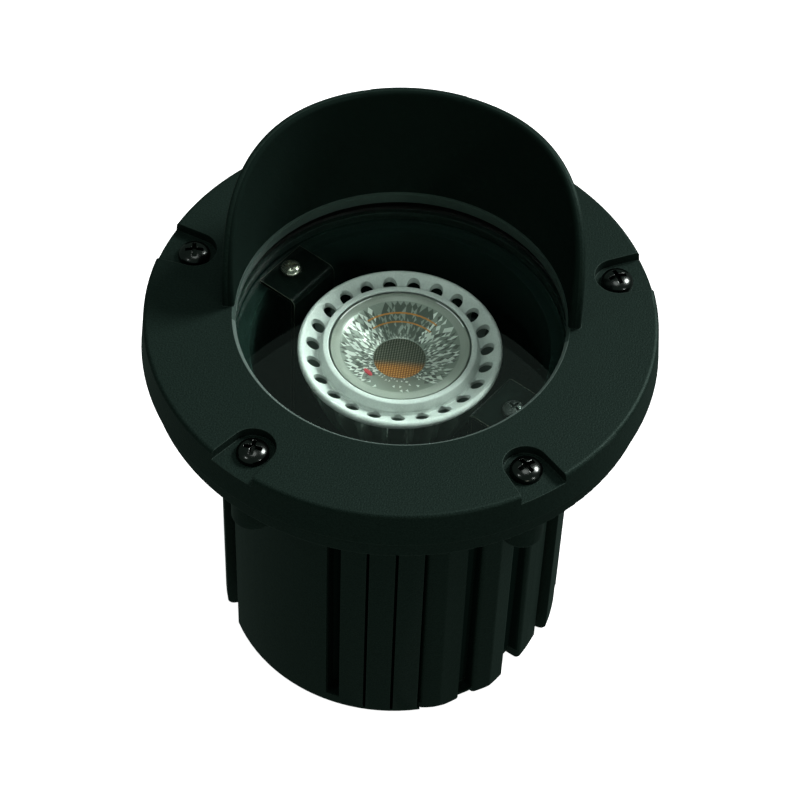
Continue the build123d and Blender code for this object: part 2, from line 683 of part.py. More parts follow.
def make_bezel():
    """Ring that traps the optic's rim in the cup."""
    inner = LAMP_CUP_RADIUS - BEZEL_WIDTH
    top = LAMP_FRONT + BEZEL_HEIGHT
    ring = turned([
        (inner, BEZEL_SEAT),
        (LAMP_CUP_RADIUS + BEZEL_SLOPE, BEZEL_SEAT),
        (LAMP_CUP_RADIUS - BEZEL_SLOPE / 2, top),
        (inner, top),
    ])
    return fillet(ring.edges().filter_by(GeomType.CIRCLE).group_by(Axis.Z)[-1], BEZEL_EDGE_ROUND)


def make_optic():
    """Clear moulded lens: rim on the cup's ledge, raised flat front, bowl-shaped
    back, and a well through its middle down to the emitter."""
    rim = LAMP_SEAT_RADIUS - OPTIC_CLEARANCE
    face = LAMP_CUP_RADIUS - BEZEL_WIDTH - OPTIC_GROOVE
    low = LAMP_FRONT - OPTIC_EDGE
    front = LAMP_FRONT + OPTIC_RISE
    back = front - OPTIC_THICKNESS
    well = EMITTER_RADIUS + OPTIC_WELL_GAP
    return turned([
        (well + OPTIC_WELL_WALL, back),
        (face - OPTIC_FACE_BAND, front - OPTIC_BOWL_DEPTH),
        (face - OPTIC_LEDGE, low),
        (rim, low),
        (rim, BEZEL_SEAT),
        (face, BEZEL_SEAT),
        (face, front),
        (well + OPTIC_WELL_TAPER, front),
        (well, back),
    ])


def make_board():
    return rod(BOARD_RADIUS, LAMP_CUP_FLOOR, LAMP_CUP_FLOOR + BOARD_THICKNESS)


def make_emitter():
    low = LAMP_CUP_FLOOR + BOARD_THICKNESS
    return rod(EMITTER_RADIUS - OPTIC_CLEARANCE, low, low + EMITTER_THICKNESS)


def make_lamp_base():
    shell = rod(BASE_RADIUS, LAMP_FOOT, LAMP_NECK)
    shell = chamfer(shell.edges().filter_by(GeomType.CIRCLE).sort_by(Axis.Z)[0], BASE_WALL / 2)
    shell -= rod(BASE_RADIUS - BASE_WALL, LAMP_FOOT + BASE_WALL, LAMP_NECK)
    for side in (-1, 1):
        hole = rod(PIN_RADIUS, LAMP_FOOT - OVERSHOOT, LAMP_FOOT + BASE_WALL)
        shell -= Pos(side * PIN_SPACING / 2, 0) * hole
    return around(STRAP_ANGLE) * shell


def make_driver():
    low = LAMP_FOOT + BASE_WALL
    board = Box(DRIVER_WIDTH, DRIVER_THICKNESS, LAMP_NECK - low, align=UP)
    choke = Rot(90, 0, 0) * Cylinder(DRIVER_PART_RADIUS, DRIVER_PART_HEIGHT, align=UP)
    choke = Pos(0, -DRIVER_THICKNESS / 2, (LAMP_NECK - low) / 2) * choke
    return around(STRAP_ANGLE) * Pos(0, PIN_RADIUS + DRIVER_THICKNESS, low) * (board + choke)


def make_pins():
    low = LAMP_FOOT - PIN_LENGTH
    pin = rod(PIN_RADIUS, low, LAMP_FOOT + BASE_WALL)
    pin = chamfer(pin.edges().filter_by(GeomType.CIRCLE).sort_by(Axis.Z)[0], PIN_RADIUS * TIP_SHARE)
    pins = Part()
    for side in (-1, 1):
        pins += Pos(side * PIN_SPACING / 2, 0) * pin
    return around(STRAP_ANGLE) * pins


if __name__ == "__main__":
    os.makedirs("parts", exist_ok=True)
    nodes = {
        "housing": make_housing(),
        "cover": make_cover(),
        "lens": make_lens(),
        "lens_gasket": make_lens_gasket(),
        "flange_seal": make_flange_seal(),
        "lamp_bracket": make_bracket(),
        "bracket_screw_left": make_bracket_screw(0),
        "bracket_screw_right": make_bracket_screw(180),
        "lampholder": make_lampholder(),
        "lampholder_contacts": make_contacts(),
        "lampholder_screws": make_holder_screws(),
        "entry_bush": make_entry_bush(),
        "holder_lead_1": make_lead(-1),
        "holder_lead_2": make_lead(1),
        "lamp_heat_sink": make_heat_sink(),
        "lamp_bezel": make_bezel(),
        "lamp_optic": make_optic(),
        "led_board": make_board(),
        "led_emitter": make_emitter(),
        "lamp_base": make_lamp_base(),
        "lamp_driver": make_driver(),
        "lamp_pins": make_pins(),
    }
    for number, angle in enumerate(screw_angles(), start=1):
        nodes[f"cover_screw_{number}"] = make_cover_screw(angle)
    for name, shape in nodes.items():
        export_step(shape, f"parts/{name}.step")
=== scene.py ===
from math import cos, pi, radians, sin

import bmesh
import bpy
from mathutils import Matrix, Quaternion, Vector


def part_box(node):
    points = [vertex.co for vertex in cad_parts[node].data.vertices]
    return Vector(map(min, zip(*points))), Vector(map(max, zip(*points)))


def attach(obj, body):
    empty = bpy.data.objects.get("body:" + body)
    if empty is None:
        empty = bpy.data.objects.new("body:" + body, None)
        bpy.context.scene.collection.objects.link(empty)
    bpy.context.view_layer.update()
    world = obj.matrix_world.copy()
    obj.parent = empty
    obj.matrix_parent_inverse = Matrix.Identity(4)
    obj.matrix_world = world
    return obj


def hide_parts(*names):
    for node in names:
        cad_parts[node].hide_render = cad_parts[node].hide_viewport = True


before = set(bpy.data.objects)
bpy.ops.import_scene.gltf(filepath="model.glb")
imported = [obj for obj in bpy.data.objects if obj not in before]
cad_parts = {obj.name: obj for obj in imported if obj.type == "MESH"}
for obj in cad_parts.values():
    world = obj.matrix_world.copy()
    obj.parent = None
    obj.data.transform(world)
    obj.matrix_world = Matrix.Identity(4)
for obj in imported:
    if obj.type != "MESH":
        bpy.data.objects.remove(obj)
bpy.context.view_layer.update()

# The studio: a floor that runs up into a pale wall all round, as a
# photographer's cove does, five soft lamps, and a camera with a long lens that
# looks down into the light from the front.
mm = 0.001
scene = bpy.context.scene
scene.view_settings.view_transform = "Standard"


def new_finish(name, colour, roughness, metallic=0.0, specular=0.5):
    finish = bpy.data.materials.new(name)
    finish.use_nodes = True
    shader = finish.node_tree.nodes["Principled BSDF"]
    shader.inputs["Base Color"].default_value = (*colour, 1)
    shader.inputs["Roughness"].default_value = roughness
    shader.inputs["Metallic"].default_value = metallic
    shader.inputs["Specular IOR Level"].default_value = specular
    return finish, shader


cove_finish, cove_shader = new_finish("pale_cove", (0.8, 0.8, 0.8), roughness=0.9, specular=0.0)
cove_shader.inputs["Emission Color"].default_value = (1, 1, 1, 1)
cove_shader.inputs["Emission Strength"].default_value = 0.95
cove_outline = [(0, 0), (2.2, 0), (2.75, 0.15), (3.15, 0.5), (3.3, 1.0), (3.35, 1.9)]
cove_shape = bmesh.new()
cove_points = [cove_shape.verts.new((radius, 0, height)) for radius, height in cove_outline]
cove_edges = [cove_shape.edges.new(pair) for pair in zip(cove_points, cove_points[1:])]
bmesh.ops.spin(
    cove_shape,
    geom=cove_points + cove_edges,
    cent=(0, 0, 0),
    axis=(0, 0, 1),
    angle=2 * pi,
    steps=64,
    use_merge=True,
)
bmesh.ops.remove_doubles(cove_shape, verts=cove_shape.verts, dist=0.01 * mm)
cove_mesh = bpy.data.meshes.new("studio_cove")
cove_shape.to_mesh(cove_mesh)
cove_shape.free()
cove_mesh.shade_smooth()
cove = bpy.data.objects.new("studio_cove", cove_mesh)
cove.data.materials.append(cove_finish)
cove.visible_diffuse = False
cove.visible_glossy = False
scene.collection.objects.link(cove)

room = bpy.data.worlds.new("dim_green_room")
room.use_nodes = True
room.node_tree.nodes["Background"].inputs["Color"].default_value = (0.70, 1.0, 0.86, 1)
room.node_tree.nodes["Background"].inputs["Strength"].default_value = 0.13
scene.world = room

lamp_aim = Vector((0, 0, 0.09))
lamp_distance = 1.5


def studio_lamp(name, azimuth, elevation, size, power, colour=(1, 1, 1)):
    """A round soft lamp that faces the mouth of the housing."""
    lamp = bpy.data.lights.new(name, "AREA")
    lamp.color = colour
    lamp.shape = "DISK"
    lamp.size = size
    lamp.energy = power
    holder = bpy.data.objects.new(name, lamp)
    turn = radians(azimuth)
    rise = radians(elevation)
    direction = Vector((cos(turn) * cos(rise), sin(turn) * cos(rise), sin(rise)))
    holder.location = lamp_aim + direction * lamp_distance
    holder.rotation_mode = "QUATERNION"
    holder.rotation_quaternion = direction.to_track_quat("Z", "Y")
    scene.collection.objects.link(holder)


# The key lamp stands on the right, so that the hood and the opening shade part
# of the well. The two small ones put glints on the screws, and the low one is
# the light that comes back off the floor.
studio_lamp("key_soft_lamp", azimuth=32, elevation=43, size=0.5, power=20.0)
studio_lamp("overhead_soft_lamp", azimuth=90, elevation=86, size=0.6, power=2.0)
studio_lamp("right_front_lamp", azimuth=-38, elevation=26, size=0.16, power=2.2)
studio_lamp("left_front_lamp", azimuth=215, elevation=50, size=0.14, power=1.1)
warm_light = (1.0, 0.95, 0.78)
studio_lamp("low_warm_lamp", azimuth=-78, elevation=6, size=0.35, power=0.9, colour=warm_light)

camera_aim = Vector((0.494, 0.0, 73.56)) * mm
camera_azimuth = radians(1.85)
camera_elevation = radians(50.09)
camera_roll = radians(2.30)
camera_distance = 875.28 * mm
away = Vector((
    sin(camera_azimuth) * cos(camera_elevation),
    -cos(camera_azimuth) * cos(camera_elevation),
    sin(camera_elevation),
))
camera = bpy.data.objects.new("camera", bpy.data.cameras.new("camera"))
camera.data.sensor_width = 36.0
camera.data.lens = 161.1
camera.data.clip_start = 0.01
camera.data.clip_end = 50.0
camera.location = camera_aim + away * camera_distance
camera.rotation_mode = "QUATERNION"
camera.rotation_quaternion = (-away).to_track_quat("-Z", "Y") @ Quaternion((0, 0, 1), camera_roll)
scene.collection.objects.link(camera)
scene.camera = camera

# The housing: one aluminium casting with a ribbed can, a flange and screw bosses, in a black
# textured powder coat, with a painted highlight over its edges.


def add_grain(finish, shader, cell, height, rounding=0.0):
    """Fine bumps over a surface, and edges softened by the coat on them."""
    nodes = finish.node_tree.nodes
    links = finish.node_tree.links
    place = nodes.new("ShaderNodeTexCoord")
    noise = nodes.new("ShaderNodeTexNoise")
    noise.inputs["Scale"].default_value = 1 / cell
    noise.inputs["Detail"].default_value = 3.0
    bump = nodes.new("ShaderNodeBump")
    bump.inputs["Distance"].default_value = height
    links.new(place.outputs["Object"], noise.inputs["Vector"])
    links.new(noise.outputs["Fac"], bump.inputs["Height"])
    links.new(bump.outputs["Normal"], shader.inputs["Normal"])
    if rounding:
        bevel = nodes.new("ShaderNodeBevel")
        bevel.samples = 6
        bevel.inputs["Radius"].default_value = rounding
        links.new(bevel.outputs["Normal"], bump.inputs["Normal"])
    return noise


def tone_ramp(finish, value, places, tones):
    """Colour that goes from one tone to another between two values."""
    ramp = finish.node_tree.nodes.new("ShaderNodeValToRGB")
    for stop, place, tone in zip(ramp.color_ramp.elements, places, tones):
        stop.position = place
        stop.color = (*tone, 1)
    finish.node_tree.links.new(value, ramp.inputs["Fac"])
    return ramp.outputs["Color"]


def add_tones(finish, shader, noise, dark, light):
    """Colour that varies with the grain between two tones."""
    tone = tone_ramp(finish, noise.outputs["Fac"], (0.35, 0.65), (dark, light))
    finish.node_tree.links.new(tone, shader.inputs["Base Color"])


def lay_over(finish, shader, colour, share):
    """Lays a colour over the one a finish has, by a share from 0 to 1."""
    links = finish.node_tree.links
    base = shader.inputs["Base Color"]
    mix = finish.node_tree.nodes.new("ShaderNodeMix")
    mix.data_type = "RGBA"
    below, above, mixed = mix.inputs[6], mix.inputs[7], mix.outputs[2]
    below.default_value = base.default_value
    above.default_value = (*colour, 1)
    if base.is_linked:
        links.new(base.links[0].from_socket, below)
    links.new(share, mix.inputs["Factor"])
    links.new(mixed, base)


def add_edge_highlight(finish, shader, colour):
    """A painted highlight along the edges, in another tone: there the softened normal leans away
    from the true one."""
    nodes = finish.node_tree.nodes
    links = finish.node_tree.links
    flat = nodes.new("ShaderNodeNewGeometry")
    alike = nodes.new("ShaderNodeVectorMath")
    alike.operation = "DOT_PRODUCT"
    links.new(nodes["Bevel"].outputs["Normal"], alike.inputs[0])
    links.new(flat.outputs["True Normal"], alike.inputs[1])
    share = nodes.new("ShaderNodeMapRange")
    share.inputs["From Min"].default_value = 0.97
    share.inputs["From Max"].default_value = 0.90
    links.new(alike.outputs["Value"], share.inputs["Value"])
    lay_over(finish, shader, colour, share.outputs["Result"])


def add_zone(finish, shader, colour, radii, heights, depths=(-1.0, 1.0), specular=None):
    """Another tone where the distance from the axis, the height and the
    place along Y all lie between two limits."""
    nodes = finish.node_tree.nodes
    links = finish.node_tree.links
    place = nodes.new("ShaderNodeTexCoord")
    flat = nodes.new("ShaderNodeVectorMath")
    flat.operation = "MULTIPLY"
    flat.inputs[1].default_value = (1, 1, 0)
    distance = nodes.new("ShaderNodeVectorMath")
    distance.operation = "LENGTH"
    split = nodes.new("ShaderNodeSeparateXYZ")
    links.new(place.outputs["Object"], flat.inputs[0])
    links.new(flat.outputs[0], distance.inputs[0])
    links.new(place.outputs["Object"], split.inputs[0])
    share = None
    values = (distance.outputs["Value"], split.outputs["Z"], split.outputs["Y"])
    for value, (low, high) in zip(values, (radii, heights, depths)):
        within = nodes.new("ShaderNodeMath")
        within.operation = "COMPARE"
        within.inputs[1].default_value = (low + high) / 2
        within.inputs[2].default_value = (high - low) / 2
        links.new(value, within.inputs[0])
        both = nodes.new("ShaderNodeMath")
        both.operation = "MULTIPLY"
        both.inputs[1].default_value = 1.0
        links.new(within.outputs[0], both.inputs[0])
        if share:
            links.new(share, both.inputs[1])
        share = both.outputs[0]
    lay_over(finish, shader, colour, share)
    if specular is not None:
        gloss = shader.inputs["Specular IOR Level"]
        sheen = nodes.new("ShaderNodeMapRange")
        sheen.inputs["To Min"].default_value = gloss.default_value
        sheen.inputs["To Max"].default_value = specular
        links.new(share, sheen.inputs["Value"])
        links.new(sheen.outputs["Result"], gloss)


def dress(node, finish):
    """Gives a CAD node its finish."""
    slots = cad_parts[node].data.materials
    slots.clear()
    slots.append(finish)


def powder_coat(name, edge_highlight):
    """Textured black with a green cast, and a painted highlight over its edges."""
    black, shader = new_finish(name, (0.0075, 0.0155, 0.0125), roughness=0.5, specular=0.2)
    shader.inputs["Specular Tint"].default_value = (0.62, 1.0, 0.84, 1)
    grain = add_grain(black, shader, cell=0.42 * mm, height=0.09 * mm, rounding=0.35 * mm)
    add_tones(black, shader, grain, (0.0045, 0.0095, 0.0075), (0.0095, 0.0185, 0.0150))
    add_edge_highlight(black, shader, edge_highlight)
    return black, shader


coat, coat_shader = powder_coat("black_powder_coat", edge_highlight=(0.02, 0.032, 0.027))
# Painted shade inside the well: one flat tone with no sheen, where the light falls off deep in the
# housing.
well_radii = (0, 39.95 * mm)
well_heights = (3 * mm, 94 * mm)
add_zone(coat, coat_shader, (0.009, 0.019, 0.016), well_radii, well_heights, specular=0.0)
dress("housing", coat)

# The flange seal: a black rubber ring that lies in the groove of the flange
# and is pressed flat by the cover.
rubber, rubber_shader = new_finish(
    "black_rubber", (0.012, 0.012, 0.012), roughness=0.55, specular=0.3
)
add_grain(rubber, rubber_shader, cell=0.6 * mm, height=0.02 * mm)
dress("flange_seal", rubber)

# The entry bush: moulded rubber, pushed into the hub in the floor, with the
# lampholder's two silicone-covered leads drawn through it.
dress("entry_bush", rubber)
sleeving, sleeving_shader = new_finish(
    "white_silicone_sleeving", (0.62, 0.61, 0.58), roughness=0.45
)
add_grain(sleeving, sleeving_shader, cell=0.4 * mm, height=0.03 * mm)
for lead in ("holder_lead_1", "holder_lead_2"):
    dress(lead, sleeving)

# The lampholder: a glazed ceramic block with two brass spring contacts, held
# to the strap bracket by two small plated screws sunk in its face.
ceramic, ceramic_shader = new_finish("glazed_ceramic", (0.72, 0.70, 0.65), roughness=0.3)
add_grain(ceramic, ceramic_shader, cell=1.6 * mm, height=0.03 * mm, rounding=0.2 * mm)
dress("lampholder", ceramic)
brass, brass_shader = new_finish("contact_brass", (0.72, 0.50, 0.22), roughness=0.28, metallic=1.0)
add_grain(brass, brass_shader, cell=0.5 * mm, height=0.01 * mm)
dress("lampholder_contacts", brass)
plating, plating_shader = new_finish(
    "bright_zinc_plating", (0.58, 0.56, 0.47), roughness=0.2, metallic=1.0
)
add_grain(plating, plating_shader, cell=0.5 * mm, height=0.012 * mm)
dress("lampholder_screws", plating)

# The strap bracket: steel strip bent to a U and painted black, with a pale painted highlight along
# its edges, that hangs the lampholder from two bosses in the housing's mouth.
paint, paint_shader = new_finish(
    "black_bracket_paint", (0.002, 0.003, 0.0028), roughness=0.24, specular=0.04
)
paint_grain = add_grain(paint, paint_shader, cell=0.9 * mm, height=0.02 * mm, rounding=0.25 * mm)
add_tones(paint, paint_shader, paint_grain, (0.0018, 0.0034, 0.0028), (0.0032, 0.0058, 0.0048))
# A pale painted highlight along the bracket's edges and its bend.
add_edge_highlight(paint, paint_shader, (0.16, 0.17, 0.13))
dress("lamp_bracket", paint)

# The bracket screws: two pan heads with a cross recess, in zinc-plated steel,
# that hold the strap to its bosses. Each is turned from its outline, and a node
# tree sinks the cross and sets the screw in place.


def softened(points, radius, steps=3):
    """An outline's corners rounded, as (radius, height) points. Its two ends
    stay as they are."""
    result = [points[0]]
    for before, corner, after in zip(points, points[1:], points[2:]):
        to_before = before - corner
        to_after = after - corner
        reach = min(radius, to_before.length / 2, to_after.length / 2)
        start = corner + to_before.normalized() * reach
        end = corner + to_after.normalized() * reach
        for step in range(steps + 1):
            t = step / steps
            result.append(start * (1 - t) ** 2 + corner * 2 * t * (1 - t) + end * t ** 2)
    return result + [points[-1]]


on_axis = 0.0001 * mm
crease = radians(35)


def turned_mesh(name, outline, segments, closed=False):
    """Mesh turned round Z from (radius, height) points, smooth but for its
    sharp edges. A closed outline makes a ring."""
    shell = bmesh.new()
    rings = []
    for point in outline:
        if point.x < on_axis:
            rings.append([shell.verts.new((0, 0, point.y))])
            continue
        angles = [2 * pi * i / segments for i in range(segments)]
        ring = [(point.x * cos(a), point.x * sin(a), point.y) for a in angles]
        rings.append([shell.verts.new(place) for place in ring])
    pairs = list(zip(rings, rings[1:]))
    if closed:
        pairs.append((rings[-1], rings[0]))
    for lower, upper in pairs:
        for i in range(segments):
            j = (i + 1) % segments
            corners = [
                lower[i % len(lower)],
                lower[j % len(lower)],
                upper[j % len(upper)],
                upper[i % len(upper)],
            ]
            corners = [v for n, v in enumerate(corners) if v not in corners[:n]]
            if len(corners) > 2:
                shell.faces.new(corners)
    bmesh.ops.recalc_face_normals(shell, faces=shell.faces)
    mesh = bpy.data.meshes.new(name)
    shell.to_mesh(mesh)
    shell.free()
    mesh.shade_smooth()
    mesh.set_sharp_from_angle(angle=crease)
    return mesh


def new_tree(name, inputs):
    """A node tree for meshes with named inputs, and its two ends."""
    tree = bpy.data.node_groups.new(name, "GeometryNodeTree")
    tree.interface.new_socket("Geometry", in_out="INPUT", socket_type="NodeSocketGeometry")
    tree.interface.new_socket("Geometry", in_out="OUTPUT", socket_type="NodeSocketGeometry")
    for title, kind in inputs:
        tree.interface.new_socket(title, in_out="INPUT", socket_type="NodeSocket" + kind)
    return tree, tree.nodes.new("NodeGroupInput"), tree.nodes.new("NodeGroupOutput")


def end_tree(tree, pieces, tree_in, tree_out):
    """Makes a tree's pieces real and gives them the finish it is handed."""
    real = tree.nodes.new("GeometryNodeRealizeInstances")
    painted = tree.nodes.new("GeometryNodeSetMaterial")
    tree.links.new(pieces, real.inputs[0])
    tree.links.new(real.outputs[0], painted.inputs["Geometry"])
    tree.links.new(tree_in.outputs["Material"], painted.inputs["Material"])
    tree.links.new(painted.outputs[0], tree_out.inputs[0])


def finished(name, mesh, tree, values):
    """Runs a tree on a mesh and keeps the result as a plain mesh object."""
    blank = bpy.data.objects.new(name + "_blank", mesh)
    scene.collection.objects.link(blank)
    modifier = blank.modifiers.new("tree", "NODES")
    modifier.node_group = tree
    for item in tree.interface.items_tree:
        if item.in_out == "INPUT" and item.name in values:
            modifier[item.identifier] = values[item.name]
    evaluated = blank.evaluated_get(bpy.context.evaluated_depsgraph_get())
    result = bpy.data.meshes.new_from_object(evaluated)
    blank.modifiers.clear()
    bpy.data.objects.remove(blank)
    result.name = name
    piece = bpy.data.objects.new(name, result)
    scene.collection.objects.link(piece)
    return piece


screw_tree, screw_in, screw_out = new_tree("cross_recessed_screw", [
    ("Recess Width", "Float"),
    ("Recess Length", "Float"),
    ("Recess Depth", "Float"),
    ("Head Height", "Float"),
    ("Turn", "Float"),
    ("Place", "Vector"),
    ("Material", "Material"),
])
screw_nodes = screw_tree.nodes
screw_links = screw_tree.links
cutters = screw_nodes.new("GeometryNodeJoinGeometry")
for along, across in (("Recess Length", "Recess Width"), ("Recess Width", "Recess Length")):
    size = screw_nodes.new("ShaderNodeCombineXYZ")
    screw_links.new(screw_in.outputs[along], size.inputs["X"])
    screw_links.new(screw_in.outputs[across], size.inputs["Y"])
    double = screw_nodes.new("ShaderNodeMath")
    double.operation = "MULTIPLY"
    double.inputs[1].default_value = 2.0
    screw_links.new(screw_in.outputs["Recess Depth"], double.inputs[0])
    screw_links.new(double.outputs[0], size.inputs["Z"])
    block = screw_nodes.new("GeometryNodeMeshCube")
    screw_links.new(size.outputs[0], block.inputs["Size"])
    raised = screw_nodes.new("ShaderNodeCombineXYZ")
    screw_links.new(screw_in.outputs["Head Height"], raised.inputs["Z"])
    lift = screw_nodes.new("GeometryNodeTransform")
    screw_links.new(block.outputs["Mesh"], lift.inputs["Geometry"])
    screw_links.new(raised.outputs[0], lift.inputs["Translation"])
    screw_links.new(lift.outputs[0], cutters.inputs[0])
cut = screw_nodes.new("GeometryNodeMeshBoolean")
cut.operation = "DIFFERENCE"
cut.solver = "EXACT"
cut.inputs["Self Intersection"].default_value = True
screw_links.new(screw_in.outputs["Geometry"], cut.inputs["Mesh 1"])
screw_links.new(cutters.outputs[0], cut.inputs["Mesh 2"])
turn = screw_nodes.new("ShaderNodeCombineXYZ")
screw_links.new(screw_in.outputs["Turn"], turn.inputs["Z"])
seat = screw_nodes.new("GeometryNodeTransform")
screw_links.new(cut.outputs["Mesh"], seat.inputs["Geometry"])
screw_links.new(turn.outputs[0], seat.inputs["Rotation"])
screw_links.new(screw_in.outputs["Place"], seat.inputs["Translation"])
end_tree(screw_tree, seat.outputs[0], screw_in, screw_out)


def pan_head_screw(name, node, shank_radius, head_height, turn_angle, finish):
    """A screw in the box of its CAD node, its cross turned by an angle. The
    head's dome starts at the corner over its brim and ends on the axis."""
    low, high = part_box(node)
    centre = (low + high) / 2
    head_radius = (high.x - low.x) / 2
    length = high.z - low.z - head_height
    brim = 0.28 * head_height
    tip = 0.45 * shank_radius
    edge_rounding = 0.04 * head_radius
    dome = [
        Vector((head_radius * cos(a), brim + (head_height - brim) * sin(a)))
        for a in [radians(step) for step in range(0, 91, 9)]
    ]
    dome[-1].x = 0.0
    outline = softened([
        Vector((0, -length)),
        Vector((shank_radius - tip, -length)),
        Vector((shank_radius, tip - length)),
        Vector((shank_radius, 0)),
        Vector((head_radius, 0)),
        Vector((head_radius, brim)),
    ], edge_rounding) + dome[1:]
    return finished(name, turned_mesh(name, outline, segments=48), screw_tree, {
        "Recess Width": 0.24 * head_radius,
        "Recess Length": 1.12 * head_radius,
        "Recess Depth": 0.55 * head_height,
        "Head Height": head_height,
        "Turn": turn_angle,
        "Place": Vector((centre.x, centre.y, high.z - head_height)),
        "Material": finish,
    })


bracket_shank_radius = 1.5 * mm
bracket_head_height = 1.9 * mm
# The right screw has a darker copy of the plating: painted shade, for the shade that the opening's
# edge casts on it.
shaded_plating, shaded_plating_shader = new_finish(
    "zinc_plating_in_painted_shade", (0.07, 0.08, 0.075), roughness=0.45, metallic=1.0
)
add_grain(shaded_plating, shaded_plating_shader, cell=0.4 * mm, height=0.02 * mm)
for side, turn_angle, finish in (("left", radians(20), plating), ("right", radians(50), shaded_plating)):
    node = f"bracket_screw_{side}"
    bracket_screw = pan_head_screw(
        f"{side}_bracket_pan_screw",
        node,
        bracket_shank_radius,
        bracket_head_height,
        turn_angle,
        finish,
    )
    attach(bracket_screw, "housing")
    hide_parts(node)

# The lamp's base: a pale plastic cap with the driver board inside and two
# plated pins that push into the holder.
base_plastic, base_shader = new_finish("pale_base_plastic", (0.74, 0.75, 0.72), roughness=0.4)
add_grain(base_plastic, base_shader, cell=0.8 * mm, height=0.02 * mm, rounding=0.2 * mm)
dress("lamp_base", base_plastic)
board_green, board_green_shader = new_finish(
    "driver_board_green", (0.03, 0.12, 0.05), roughness=0.4
)
add_grain(board_green, board_green_shader, cell=1.0 * mm, height=0.02 * mm)
dress("lamp_driver", board_green)
dress("lamp_pins", plating)

# The lamp's body: a white-painted casting. Its crown is a ring bored with a
# circle of holes for the air, over thin fins that run down to the neck, and
# in its middle is the cup for the optic.
white, white_shader = new_finish(
    "white_lamp_paint", (0.63, 0.668, 0.64), roughness=0.36, specular=0.45
)
white_grain = add_grain(white, white_shader, cell=0.45 * mm, height=0.012 * mm)
add_tones(white, white_shader, white_grain, (0.59, 0.625, 0.60), (0.67, 0.71, 0.68))
# The fins and the cup carry a darker copy of the white paint: painted shade, where they lie under
# the crown.
painted_shade_white, painted_shade_white_shader = new_finish(
    "white_paint_in_painted_shade", (0.20, 0.25, 0.215), roughness=0.5, specular=0.3
)
add_grain(painted_shade_white, painted_shade_white_shader, cell=0.5 * mm, height=0.015 * mm)
hole_count = 23
hole_circle = 21.1 * mm
hole_radius = 1.7 * mm
drill_length = 12 * mm
first_hole = radians(6.3)
crown_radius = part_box("lamp_heat_sink")[1].x - 0.3 * mm
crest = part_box("lamp_heat_sink")[1].z - 0.45 * mm
crown_low = crest - 2.1 * mm
dish_edge = 22.8 * mm
dish_low = crest - 3.0 * mm
neck_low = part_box("lamp_heat_sink")[0].z
bezel_seat = dish_low + 1.0 * mm
crown_seam = bezel_seat + 0.05 * mm
cup_radius = 18.8 * mm
crown_inner = cup_radius - 0.5 * mm
cup_wall = 0.8 * mm
cup_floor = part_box("led_board")[0].z
neck_radius = 11.5 * mm

crown_tree, crown_in, crown_out = new_tree("bored_crown", [
    ("Holes", "Int"),
    ("Hole Circle", "Float"),
    ("Hole Radius", "Float"),
    ("Hole Height", "Float"),
    ("First Turn", "Float"),
    ("Material", "Material"),
])
crown_nodes = crown_tree.nodes
crown_links = crown_tree.links
hole_places = crown_nodes.new("GeometryNodeMeshCircle")
crown_links.new(crown_in.outputs["Holes"], hole_places.inputs["Vertices"])
crown_links.new(crown_in.outputs["Hole Circle"], hole_places.inputs["Radius"])
drill = crown_nodes.new("GeometryNodeMeshCylinder")
drill.inputs["Vertices"].default_value = 28
drill.inputs["Depth"].default_value = drill_length
crown_links.new(crown_in.outputs["Hole Radius"], drill.inputs["Radius"])
drills = crown_nodes.new("GeometryNodeInstanceOnPoints")
crown_links.new(hole_places.outputs["Mesh"], drills.inputs["Points"])
crown_links.new(drill.outputs["Mesh"], drills.inputs["Instance"])
drill_height = crown_nodes.new("ShaderNodeCombineXYZ")
crown_links.new(crown_in.outputs["Hole Height"], drill_height.inputs["Z"])
raise_drills = crown_nodes.new("GeometryNodeTransform")
crown_links.new(drills.outputs[0], raise_drills.inputs["Geometry"])
crown_links.new(drill_height.outputs[0], raise_drills.inputs["Translation"])
drill_turn = crown_nodes.new("ShaderNodeCombineXYZ")
crown_links.new(crown_in.outputs["First Turn"], drill_turn.inputs["Z"])
crown_links.new(drill_turn.outputs[0], raise_drills.inputs["Rotation"])
real_drills = crown_nodes.new("GeometryNodeRealizeInstances")
crown_links.new(raise_drills.outputs[0], real_drills.inputs[0])
bore = crown_nodes.new("GeometryNodeMeshBoolean")
bore.operation = "DIFFERENCE"
bore.solver = "EXACT"
crown_links.new(crown_in.outputs["Geometry"], bore.inputs["Mesh 1"])
crown_links.new(real_drills.outputs[0], bore.inputs["Mesh 2"])
end_tree(crown_tree, bore.outputs["Mesh"], crown_in, crown_out)

crown_outline = softened([
    Vector((crown_inner, dish_low - 1.3 * mm)),
    Vector((crown_radius - 0.7 * mm, crown_low)),
    Vector((crown_radius, crown_low + 0.35 * mm)),
    Vector((crown_radius, crest - 0.55 * mm)),
    Vector((crown_radius - 0.85 * mm, crest)),
    Vector((dish_edge, crest - 0.85 * mm)),
    Vector((cup_radius + 0.75 * mm, dish_low)),
    Vector((cup_radius + 0.5 * mm, crown_seam)),
    Vector((crown_inner, crown_seam)),
], 0.6 * mm)
crown_blank = turned_mesh("lamp_crown", crown_outline, segments=6 * hole_count, closed=True)
crown = finished("lamp_crown", crown_blank, crown_tree, {
    "Holes": hole_count,
    "Hole Circle": hole_circle,
    "Hole Radius": hole_radius,
    "Hole Height": crown_low,
    "First Turn": first_hole,
    "Material": white,
})
edge_softening = crown.modifiers.new("edge", "BEVEL")
edge_softening.width = 0.28 * mm
edge_softening.segments = 2
edge_softening.limit_method = "ANGLE"
edge_softening.angle_limit = radians(50)
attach(crown, "lamp")

